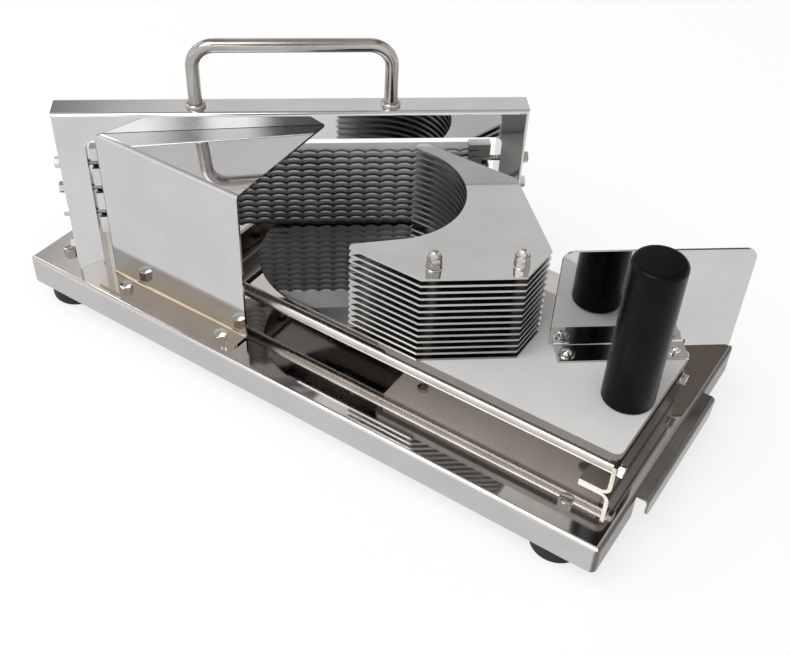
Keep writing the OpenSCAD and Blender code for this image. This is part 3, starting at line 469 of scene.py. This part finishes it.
def threadBody(bm, place, wide, low, high, pitch):
    deep, steps = fastener["threadDeep"] * pitch, fastener["shankSteps"]
    rows = int((high - low) / pitch * fastener["perTurn"])
    rings = [ringOf(bm, place, [(0, 0, low)])]
    for row in range(rows + 1):
        z = low + (high - low) * row / rows
        points = []
        for k, a in enumerate(turnsOf(steps)):
            phase = (z / pitch - k / steps) % 1.0
            radius = wide / 2 - deep * abs(2 * phase - 1)
            radius = min(radius, wide / 2 - deep + min(z - low, high - z))
            points.append((radius * math.cos(a), radius * math.sin(a), z))
        rings.append(ringOf(bm, place, points))
    rings.append(ringOf(bm, place, [(0, 0, high)]))
    loft(bm, rings)


def washerBody(bm, place, wide, d, thick):
    edge, half, bore = thick * fastener["washerEdge"], wide / 2, (d + fastener["washerPlay"]) / 2
    profile = [(bore, 0), (half - edge, 0), (half, edge), (half, thick - edge), (half - edge, thick)]
    revolve(bm, place, profile + [(bore, thick), (bore, 0)], fastener["washerSteps"])


def shankBody(bm, place, wide, low, high):
    half, tip = wide / 2, fastener["tip"]
    profile = [(0, low), (half - tip, low), (half, low + tip), (half, high), (0, high)]
    revolve(bm, place, profile, fastener["shankSteps"])


def headBody(bm, place, d, washer):
    if washer:
        washerBody(bm, place, d * fastener["washerWide"], d, washer)
    hexBody(bm, place, d * hexSet["headWide"], washer, washer + d * hexSet["headTall"])


def boltBody(bm, place, d, reach, washer=0.0):
    headBody(bm, place, d, washer)
    shankBody(bm, place, d, -reach, washer + fastener["sunk"])


def throughBolt(bm, place, d, below, past):  # with a nut below the sheets
    tall = d * hexSet["headTall"]
    boltBody(bm, place, d, below + tall + past)
    hexBody(bm, place, d * hexSet["headWide"], -below - tall, -below, d / 2 + fastener["nutPlay"], True)


# bolts in the tray, the rods and the runner; turn is the first head's twist and the step to the next
boltSets = {
    "feet": {"d": 5.0, "reach": 17.5, "xs": (19.0, 405.0), "ys": (21.0, 182.0), "turn": (0.4, 0.9)},
    "guard": {"d": 5.0, "sheet": 1.5, "xs": (79.0, 161.0), "ys": (12.4,), "turn": (0.3, 1.0)},
    "bracket": {"d": 4.0, "sheet": 2.5, "xs": (132.5, 411.0), "ys": (65.0, 110.0), "turn": (0.0, 0.7)},
    "rail": {"d": 4.0, "reach": 14.5, "washer": 0.8, "left": 119.5, "right": 424.0, "ys": (43.0, 132.0),
             "z": 19.5, "turn": (0.2, 0.5)},
    "runner": {"d": 4.0, "reach": 19.0, "xs": (285.0, 399.0), "ys": (61.0, 114.0), "z": 13.5,
               "turn": (0.0, 0.6)},
}


def twistOf(look, i):
    first, step = look["turn"]
    return first + step * i


def boltSpots(look):  # (x, y, twist) of each bolt in a set
    spots = [(x, y) for x in look["xs"] for y in look["ys"]]
    return [(x, y, twistOf(look, i)) for i, (x, y) in enumerate(spots)]


def footBolts():
    bm, look = bmesh.new(), boltSets["feet"]
    for x, y, twist in boltSpots(look):
        boltBody(bm, standing(onTray(x, y, 0), twist=twist), look["d"], look["reach"])
    newBolts("footBolts", bm, "base", "foot_bolts")


def trayBolts(kind, name, node):
    bm, look = bmesh.new(), boltSets[kind]
    for x, y, twist in boltSpots(look):
        place = standing(onTray(x, y, look["sheet"]), twist=twist)
        throughBolt(bm, place, look["d"], look["sheet"] + plan["sheet"], fastener["pastNut"])
    newBolts(name, bm, "base", node)


def railBolts():
    bm, look = bmesh.new(), boltSets["rail"]
    for i, y in enumerate(look["ys"]):
        for x, way in ((look["left"], -1), (look["right"], 1)):
            place = standing(onTray(x, y, look["z"]), (way, 0, 0), twistOf(look, i))
            boltBody(bm, place, look["d"], look["reach"], look["washer"])
    newBolts("railBolts", bm, "base", "rail_bolts")


def runnerScrews():
    bm, look = bmesh.new(), boltSets["runner"]
    for x, y, twist in boltSpots(look):
        boltBody(bm, standing(onTray(x, y, look["z"]), (0, 0, -1), twist), look["d"], look["reach"])
    newBolts("runnerScrews", bm, "carriage", "runner_screws")


# bolts of the blade frame
frameBolts = {"d": 5.0, "sheet": 1.5, "angle": 2.5, "depth": 10.25, "z": 20.0, "footIn": 9.46, "past": 0.8,
              "sideTurn": 0.5, "footTurn": 0.2}
tension = {
    "d": 4.0, "washer": 0.8, "depth": 7.5, "zs": (47.85, 66.8, 85.75), "turn": (0.0, 0.35),
    "pitch": 0.7, "thinner": 0.1, "threadPast": 2.0, "shankPast": 1.0,
    # along the frame, way out, reach, post, gap
    "ends": ((0, -1, 27.58, 18.0, 6.4), (plan["frameLength"], 1, 29.6, 16.0, 11.0)),
}


def outward(way):  # along the frame, out of its left or right post
    return (inFrame(1, 0, 0) - inFrame(0, 0, 0)) * way


def frameFootBolts():
    bm, look = bmesh.new(), frameBolts
    d, length = look["d"], plan["frameLength"]
    for along, foot, way in ((0, look["footIn"], -1), (length, length - look["footIn"], 1)):
        side = standing(inFrame(along, look["depth"], look["z"]), outward(way), look["sideTurn"])
        throughBolt(bm, side, d, look["sheet"] + look["angle"], look["past"])
        place = standing(inFrame(foot, look["depth"], look["angle"]), twist=look["footTurn"])
        throughBolt(bm, place, d, look["angle"] + plan["sheet"], fastener["pastNut"])
    newBolts("frameFootBolts", bm, "base", "frame_foot_bolts")


def tensionBolts():
    bm, look = bmesh.new(), tension
    d, washer, sunk = look["d"], look["washer"], fastener["sunk"]
    thin = d - look["thinner"]
    for i, z in enumerate(look["zs"]):
        for along, way, reach, post, gap in look["ends"]:
            place = standing(inFrame(along, look["depth"], z), outward(way), twistOf(look, i))
            headBody(bm, place, d, washer)
            shankBody(bm, place, thin, -post - sunk, washer + sunk)
            threadBody(bm, place, d, -post - gap - look["threadPast"], -post, look["pitch"])
            shankBody(bm, place, thin, -reach, -post - gap - look["shankPast"])
    newBolts("tensionBolts", bm, "base", "tension_bolts")


footBolts()
trayBolts("guard", "guardBolts", "guard_bolts")
trayBolts("bracket", "bracketScrews", "bracket_screws")
railBolts()
runnerScrews()
frameFootBolts()
tensionBolts()
print("bolts turned")

# cap nuts on the plate stack
stackNuts = {"d": 5.0, "washer": 0.8, "capHex": 3.5, "capShare": 0.94, "dome": 4.0, "domeShare": 0.86,
             "domeLift": 0.5, "domeSteps": 12, "steps": 40, "play": 0.15, "turn": (0.25, 0.5),
             "at": ((291.9, 50.7), (331.43, 81.31))}


def capNuts():
    bm, look = bmesh.new(), stackNuts
    d, tall, wide = look["d"], look["d"] * hexSet["headTall"], look["d"] * hexSet["headWide"]
    bore, neck = d / 2 + look["play"], look["dome"] * look["domeShare"]
    for i, (x, y) in enumerate(look["at"]):
        place = standing(onTray(x, y, plan["stackTop"]), twist=twistOf(look, i))
        z = look["washer"]
        washerBody(bm, place, d * fastener["washerWide"], d, z)
        hexBody(bm, place, wide, z, z + tall, bore, True)
        z += tall
        hexBody(bm, place, wide * look["capShare"], z, z + look["capHex"], bore, True)
        z += look["capHex"]
        foot, middle = z - fastener["sunk"], z + look["domeLift"]
        curve = arc(0, middle, neck, 0, 90, look["domeSteps"])
        revolve(bm, place, [(0, foot), (neck, foot)] + curve[:-1] + [(0, middle + neck)], look["steps"])
    newBolts("capNuts", bm, "carriage", "stack_nuts")


capNuts()

# round heads with a hexagon socket on wide washers
guardScrews = {
    "d": 4.0, "washer": 0.8, "wide": 10.0, "sheet": 1.5, "depth": 3.5, "sunk": 0.3,
    "turn": (0.4, 1.0), "steps": 48,
    "head": 3.6, "headDrop": 0.4, "crown": (24, 66, 8), "edge": 0.15, "footTall": 0.1, "rimDrop": 0.02,
    "key": 2.4, "socket": (0.1, 1.1), "socketFloor": 1.3,
    "at": (351.5, 98.0), "alongs": (6.5, 73.5), "back": -9.9,
}


def handGuardScrews():
    bm, look = bmesh.new(), guardScrews
    d, r, z = look["d"], look["head"], look["washer"]
    keyRadii = [(hexRadius(look["key"], a), a) for a in turnsOf(look["steps"])]
    key = [(wide * math.cos(a), wide * math.sin(a)) for wide, a in keyRadii]
    for i, along in enumerate(look["alongs"]):
        x, y = obliquely(look["at"], along, look["back"])
        place = standing(onTray(x, y, plan["boardTop"] + look["sheet"]), twist=twistOf(look, i))
        washerBody(bm, place, look["wide"], d, z)
        shankBody(bm, place, d, -look["sheet"] - look["depth"], z + look["sunk"])
        crown = arc(0, z - look["headDrop"] * r, r, *look["crown"])
        foot, (rim, top) = crown[0][0], crown[-1]
        profile = [(0, z), (foot - look["edge"], z), (foot, z + look["footTall"])] + crown
        rings = revolve(bm, place, profile + [(rim - look["edge"], top - look["rimDrop"])], look["steps"])
        socket = [ringOf(bm, place, [(*corner, top - down) for corner in key]) for down in look["socket"]]
        floor = ringOf(bm, place, [(0, 0, top - look["socketFloor"])])
        loft(bm, [rings[-1], *socket, floor])
    newBolts("handGuardScrews", bm, "carriage", "hand_guard_screws")


handGuardScrews()
print("nuts and screws made")

# blades with hollow-ground points
bladeSet = {"left": 27.98, "right": 266.0, "set": 3.2, "wide": 11.0, "thick": 0.5, "pitch": 10.2,
            "hollow": 2.0, "flat": 0.8, "grind": 1.7, "edge": 0.07, "lowest": 37.1, "step": 4.7,
            "samples": 11, "sharp": 20}


def bladeEdge():  # (along, back) of the cutting edge
    look = bladeSet
    run = look["right"] - look["left"]
    teeth = int(run // look["pitch"])
    start = (run - teeth * look["pitch"]) / 2
    half = (look["pitch"] - look["flat"]) / 2
    radius = (half * half + look["hollow"] ** 2) / (2 * look["hollow"])
    points = [(0.0, 0.0)]
    for tooth in range(teeth):
        mid = start + (tooth + 0.5) * look["pitch"]
        for k in range(look["samples"] + 1):
            u = half * (2 * k / look["samples"] - 1)
            points.append((mid + u, look["hollow"] - radius + math.sqrt(radius * radius - u * u)))
    points.append((run, 0.0))
    return points


def blades():
    look, edge = bladeSet, bladeEdge()
    half, rear = look["thick"] / 2, look["set"] + look["wide"]
    for i in range(plan["plates"]):
        bm = bmesh.new()
        z = look["lowest"] + i * look["step"]
        rows = []
        for along, back in edge:
            front = look["set"] + back
            section = [(front, -half), (front, -half + look["edge"]), (front + look["grind"], half),
                       (rear, half), (rear, -half)]
            rows.append([bm.verts.new(inFrame(look["left"] + along, depth, z + dz)) for depth, dz in section])
        for a, b in zip(rows, rows[1:]):
            for k in range(len(a)):
                after = (k + 1) % len(a)
                face = bm.faces.new((a[k], a[after], b[after], b[k]))
                face.material_index = 1 if k in (0, 1) else 0  # the edge and the grind
        bm.faces.new(rows[0])
        bm.faces.new(rows[-1])
        name = "%02d" % (i + 1)
        newPiece("slicingBlade" + name, bm, ["bladeFlat", "bladeGrindPaintedDark"], "base",
                 ["blade_" + name], look["sharp"])


blades()
print("blades ground")

# the carry handle: one bent bar with threaded feet, in collars
handle = {"wide": 121.0, "tall": 45.0, "d": 8.5, "bend": 14.0, "bendSteps": 18, "steps": 40,
          "stud": 6.0, "studLong": 7.0, "studUp": 0.3, "studPitch": 1.0}
collars = {"d": 12.5, "tall": 2.5, "play": 0.1, "edge": 0.2, "round": 1.4, "roundSteps": 6, "steps": 48}


def onFrameTop(x, back, z):  # from the handle's left foot
    left = (plan["frameLength"] - handle["wide"]) / 2
    return inFrame(left + x, plan["frameDepth"] / 2 + back, plan["frameHeight"] + z)


def carryHandle():
    look, bm = handle, bmesh.new()
    r, bend, wide = look["d"] / 2, look["bend"], look["wide"]
    straight = look["tall"] - r - bend
    bends = [math.pi / 2 * k / look["bendSteps"] for k in range(1, look["bendSteps"] + 1)]
    path = [(0.0, 0.0, 90.0), (0.0, straight, 90.0)]
    path += [(bend - bend * math.cos(a), straight + bend * math.sin(a), 90 - math.degrees(a)) for a in bends]
    path += [(wide - x, z, -turn) for x, z, turn in reversed(path)]
    rings = [[bm.verts.new(onFrameTop(0, 0, 0))]]
    for x, z, turn in path:
        ahead, ring = math.radians(turn), []
        for a in turnsOf(look["steps"]):
            off = r * math.cos(a)
            spot = onFrameTop(x - off * math.sin(ahead), r * math.sin(a), z + off * math.cos(ahead))
            ring.append(bm.verts.new(spot))
        rings.append(ring)
    rings.append([bm.verts.new(onFrameTop(wide, 0, 0))])
    loft(bm, rings)
    for x in (0, wide):
        place = standing(onFrameTop(x, 0, 0))
        threadBody(bm, place, look["stud"], -look["studLong"], look["studUp"], look["studPitch"])
    newPiece("carryHandle", bm, ["barPolish"], "base", ["carry_handle"])


def handleCollars():
    look, bm = collars, bmesh.new()
    inner, outer = handle["d"] / 2 + look["play"], look["d"] / 2
    high, rnd, edge = look["tall"], look["round"], look["edge"]
    profile = [(inner, 0), (outer - edge, 0), (outer, edge)]
    profile += arc(outer - rnd, high - rnd, rnd, 0, 90, look["roundSteps"]) + [(inner, high), (inner, 0)]
    for x in (0, handle["wide"]):
        revolve(bm, standing(onFrameTop(x, 0, 0)), profile, look["steps"])
    newPiece("handleCollars", bm, ["barPolish"], "base", ["handle_collars"])


carryHandle()
handleCollars()
print("handle bent")

# the upright grip and the feet are turned
grip = {"at": (407.5, 84.5), "foot": 31.5, "top": 31.0, "tall": 100.0, "round": 3.0, "roundSteps": 14,
        "bore": 8.3, "boreDeep": 41.0, "footRound": 0.8, "rows": 24, "steps": 72}
feet = {"d": 34.0, "pad": 12.0, "bevel": 2.5, "neck": 19.0, "tall": 34.5, "bore": 5.3, "boreDeep": 17.0,
        "groove": ((6.0, 0.0), (5.4, 0.5), (4.4, 0.5), (3.8, 0.0)), "flare": ((1.2, -1.0), (0.0, 0.8)),
        "rim": (-90, 0, 6), "shoulder": (0, 60, 5), "steps": 56}


def turnedGrip():
    look, bm = grip, bmesh.new()
    place = standing(onTray(*look["at"], plan["boardTop"]))
    base, top, hole, deep = look["foot"] / 2, look["top"] / 2, look["bore"] / 2, look["boreDeep"]
    rnd, edge, rows = look["round"], look["footRound"], look["rows"]
    shaft = look["tall"] - rnd
    profile = [(0, deep), (hole, deep), (hole, 0), (base - edge, 0)]
    profile += [(base + (top - base) * k / rows, edge + (shaft - edge) * k / rows) for k in range(rows + 1)]
    profile += arc(top - rnd, shaft, rnd, 0, 90, look["roundSteps"])[1:] + [(0, look["tall"])]
    revolve(bm, place, profile, look["steps"])
    newPiece("turnedGrip", bm, ["gripBlack"], "carriage", ["grip"])


def rubberFeet():
    look, bm = feet, bmesh.new()
    half, neck, hole = look["d"] / 2, look["neck"] / 2, look["bore"] / 2
    b, pad, tall = look["bevel"], look["pad"], look["tall"]
    profile = [(0, 0.0)] + [(half - inset, z) for inset, z in look["groove"]]
    profile += arc(half - b, b, b, *look["rim"]) + arc(half - b, pad - b, b, *look["shoulder"])
    profile += [(neck + out, pad + b + up) for out, up in look["flare"]]
    profile += [(neck, tall), (hole, tall), (hole, tall - look["boreDeep"]), (0, tall - look["boreDeep"])]
    for x, y, _ in boltSpots(boltSets["feet"]):
        revolve(bm, standing(onTray(x, y, -plan["corner"][2])), profile, look["steps"])
    newPiece("rubberFeet", bm, ["footRubber"], "base", ["rubber_feet"])


turnedGrip()
rubberFeet()
print("grip and feet turned")

# pale floor, soft lamps and the photograph's viewpoint
stage = {"floor": (0.9, 0.9, 0.9), "rough": 0.9, "glow": 0.72, "size": 40.0}


def paleFloor():
    bm = bmesh.new()
    h = stage["size"] / 2
    bm.faces.new([bm.verts.new((x, y, 0)) for x, y in ((-h, -h), (h, -h), (h, h), (-h, h))])
    mesh = bpy.data.meshes.new("paleFloor")
    bm.to_mesh(mesh)
    bm.free()
    floor = bpy.data.objects.new("paleFloor", mesh)
    bpy.context.scene.collection.objects.link(floor)
    material, shader, rays = newFinish("paleFloor", {
        "Base Color": (*stage["floor"], 1.0), "Roughness": stage["rough"], "Specular IOR Level": 0.0,
    })
    seen = rays.add("LightPath", out="Is Camera Ray")
    kinds = seen.socket.node.outputs
    for kind in ("Is Glossy Ray", "Is Transmission Ray"):
        seen = seen.maths("MAXIMUM", seen, Wire(rays.tree, kinds[kind]))
    glow = rays.add("Emission", {}, {"Color": (1, 1, 1, 1), "Strength": 1.0})
    plain = Wire(rays.tree, shader.outputs[0])
    both = rays.add("MixShader", {}, {0: seen * stage["glow"], 1: plain, 2: glow})
    rays.tree.links.new(both.socket, rays.tree.nodes["Material Output"].inputs["Surface"])
    mesh.materials.append(material)


# the room as steel sees it: bright low down on the near side, with leaning panes above,
# and a dark band, a door and a wing on the far side
room = {
    "near": [(0.0, (0.7, 0.7, 0.7)), (0.5, (0.68, 0.68, 0.68)), (0.62, (0.45, 0.445, 0.44)),
             (0.82, (0.45, 0.445, 0.44)), (0.95, (0.36, 0.36, 0.36))],
    "far": [(0.0, (0.47, 0.47, 0.475)), (0.5, (0.48, 0.475, 0.47)), (0.74, (0.45, 0.44, 0.425)),
            (0.82, (0.15, 0.138, 0.125)), (0.88, (0.145, 0.13, 0.117)), (0.95, (0.36, 0.36, 0.36))],
    "door": {"shade": (0.19, 0.172, 0.158), "across": (-0.28, -0.18, 0.15, 0.4),
             "up": (0.25, 0.5, 0.7, 0.78)},
    "wing": {"shade": (0.3, 0.3, 0.31), "across": (-1.0, -0.9, -0.7, -0.6),
             "up": (0.25, 0.5, 0.7, 0.78)},
    "panes": {"stops": [(0.12, 0.5), (0.18, 0.95), (0.228, 0.95), (0.263, 0.2), (0.274, 1.0), (0.308, 1.0),
                        (0.325, 0.1), (0.38, 0.06), (0.44, 0.48)],
              "gain": 2.1, "lean": 0.42, "shift": 0.055, "up": (0.34, 0.4, 0.64, 0.7)},
    "turn": (-0.25, 0.15),
    "level": 1.8,
}


def studioWorld():
    world = bpy.data.worlds.new("softRoom")
    bpy.context.scene.world = world
    world.use_nodes = True
    way = Wire(world.node_tree).add("TexCoord", out="Generated")
    across, deep, up = (axisOf(way, axis) for axis in "XYZ")
    near, far = (up.add("ValToRGB", {"stops": room[side]}, {0: up}) for side in ("near", "far"))
    for look in (room["door"], room["wing"]):
        mask = between(across, *look["across"]) * between(up, *look["up"])
        far = blendShade(mask, far, look["shade"], "MULTIPLY")
    look = room["panes"]
    leaning = across + (up - 1) * look["lean"] + look["shift"]
    strips = up.add("ValToRGB", {"stops": [(at, (v, v, v)) for at, v in look["stops"]]}, {0: leaning})
    bars = strips.add("VectorMath", {"operation": "SCALE"}, {0: strips, "Scale": look["gain"]})
    near = blendShade(between(up, *look["up"]), near, bars, "MULTIPLY")
    both = blendShade(rampUp(deep, *room["turn"]), near, far)
    glow = world.node_tree.nodes["Background"]
    world.node_tree.links.new(both.socket, glow.inputs["Color"])
    glow.inputs["Strength"].default_value = room["level"]


lamps = {
    "keySoft": {"at": (-0.3, -1.15, 2.06), "size": (1.5, 1.4), "watts": 27.0},
    "sideSoft": {"at": (-1.7, 0.1, 1.2), "size": (0.5, 1.0), "watts": 3.0},
}
lampAim = Vector((0, 0, 0.08))


def softLamps():
    for name, look in lamps.items():
        light = bpy.data.lights.new(name, "AREA")
        light.shape, light.size, light.size_y = "RECTANGLE", *look["size"]
        light.energy = look["watts"]
        lamp = bpy.data.objects.new(name, light)
        lamp.location = look["at"]
        lamp.rotation_euler = (lampAim - Vector(look["at"])).to_track_quat("-Z", "Y").to_euler()
        bpy.context.scene.collection.objects.link(lamp)


viewpoint = {"at": (0.3097, -0.4801, 0.529), "yaw": 31.53, "down": 42.07, "roll": 2.87, "lens": 51.14,
             "sensor": 36.0, "clip": (0.01, 100.0)}


def photoCamera():
    look = viewpoint
    yaw, down, roll = (math.radians(look[k]) for k in ("yaw", "down", "roll"))
    level = Vector((-math.sin(yaw), math.cos(yaw), 0))
    right = Vector((math.cos(yaw), math.sin(yaw), 0))
    ahead = level * math.cos(down) - Vector((0, 0, 1)) * math.sin(down)
    over = level * math.sin(down) + Vector((0, 0, 1)) * math.cos(down)
    side = right * math.cos(roll) + over * math.sin(roll)
    head = over * math.cos(roll) - right * math.sin(roll)
    lens = bpy.data.cameras.new("photoView")
    lens.lens, lens.sensor_width = look["lens"], look["sensor"]
    lens.clip_start, lens.clip_end = look["clip"]
    camera = bpy.data.objects.new("photoView", lens)
    axes = Matrix((side, head, -ahead)).transposed().to_4x4()
    camera.matrix_world = Matrix.Translation(look["at"]) @ axes
    bpy.context.scene.collection.objects.link(camera)
    bpy.context.scene.camera = camera


paleFloor()
studioWorld()
softLamps()
photoCamera()
bpy.context.scene.view_settings.view_transform = "Standard"
print("studio set")
